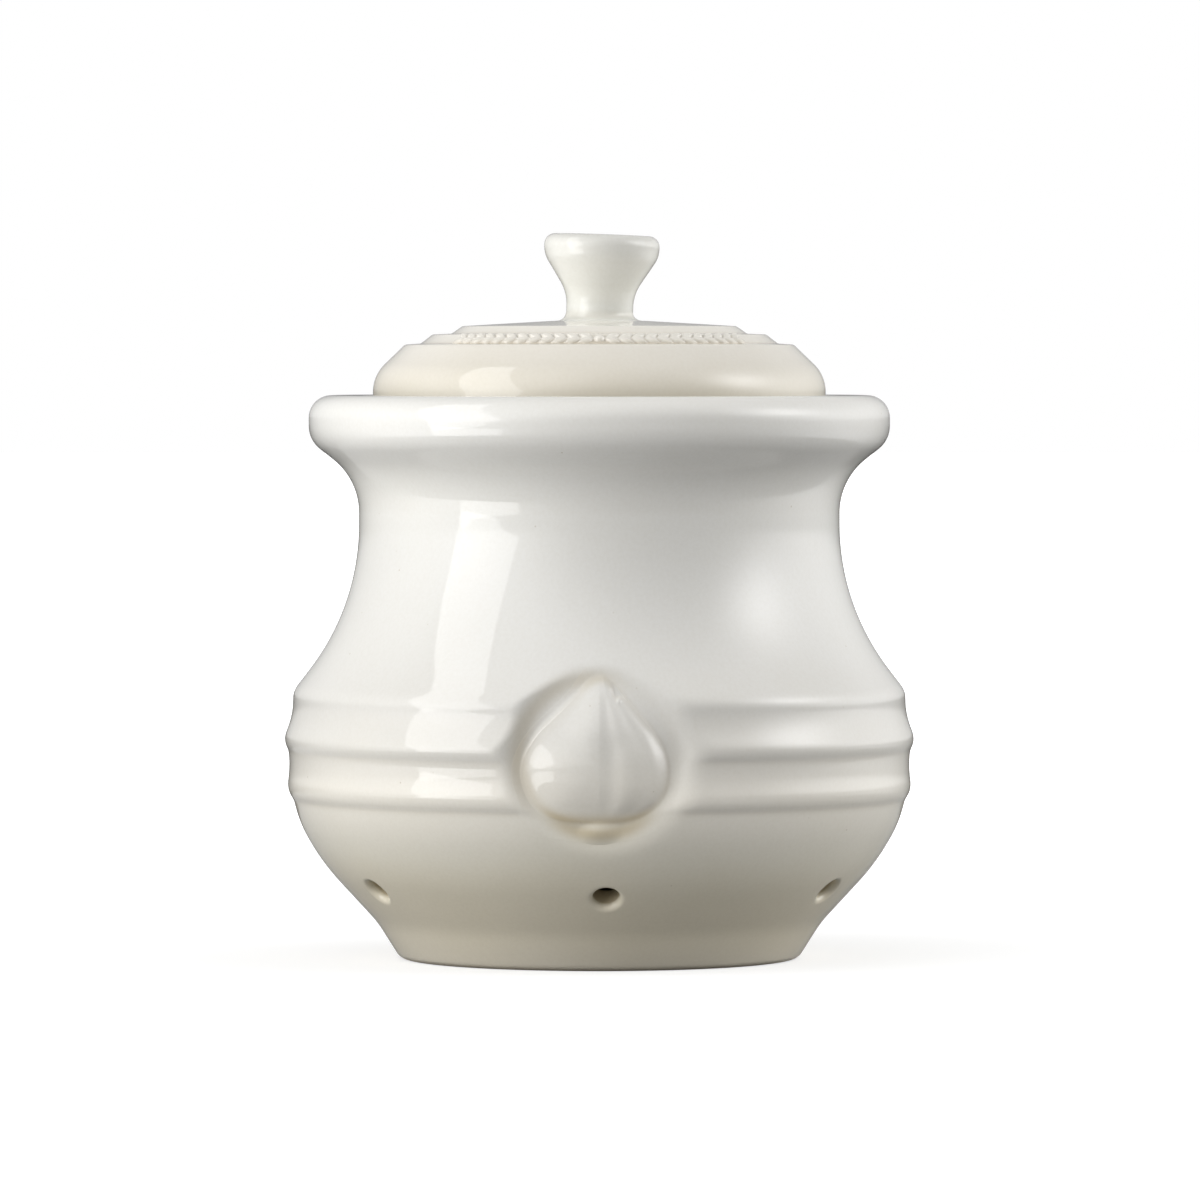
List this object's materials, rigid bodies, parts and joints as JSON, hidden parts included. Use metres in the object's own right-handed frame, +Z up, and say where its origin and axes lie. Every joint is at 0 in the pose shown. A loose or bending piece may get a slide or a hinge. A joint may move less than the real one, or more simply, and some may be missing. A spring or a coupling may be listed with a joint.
{
  "type": "garlic keeper",
  "caption": "Pot-bellied glazed stoneware garlic keeper with vent holes, banded belly, a garlic bulb in relief on the front, and a lift-off stepped lid with a turned knob.",
  "frame": {"origin": "centre of the foot, on the surface that the jar stands on", "axes": "+Z up along the turning axis; the garlic bulb faces -Y; +X to the right seen from the front"},
  "size_m": [0.1298, 0.1293, 0.1495],
  "materials": {
    "jar_glaze": "glossy glaze, near white at the neck and warm greige towards the foot",
    "sprig_glaze": "glossy glaze, pooled darker round the lower outline",
    "lid_glaze": "glossy cream glaze",
    "knob_glaze": "glossy off-white glaze"
  },
  "bodies": {
    "jar": {"jar": "jar_glaze", "garlic_sprig": "sprig_glaze"},
    "lid": {"lid": "lid_glaze", "knob": "knob_glaze"}
  },
  "joints": [
    {"name": "lid_lift", "type": "slide", "parent": "jar", "child": "lid", "axis": [0, 0, 1], "range_m": [0, 0.08]}
  ]
}
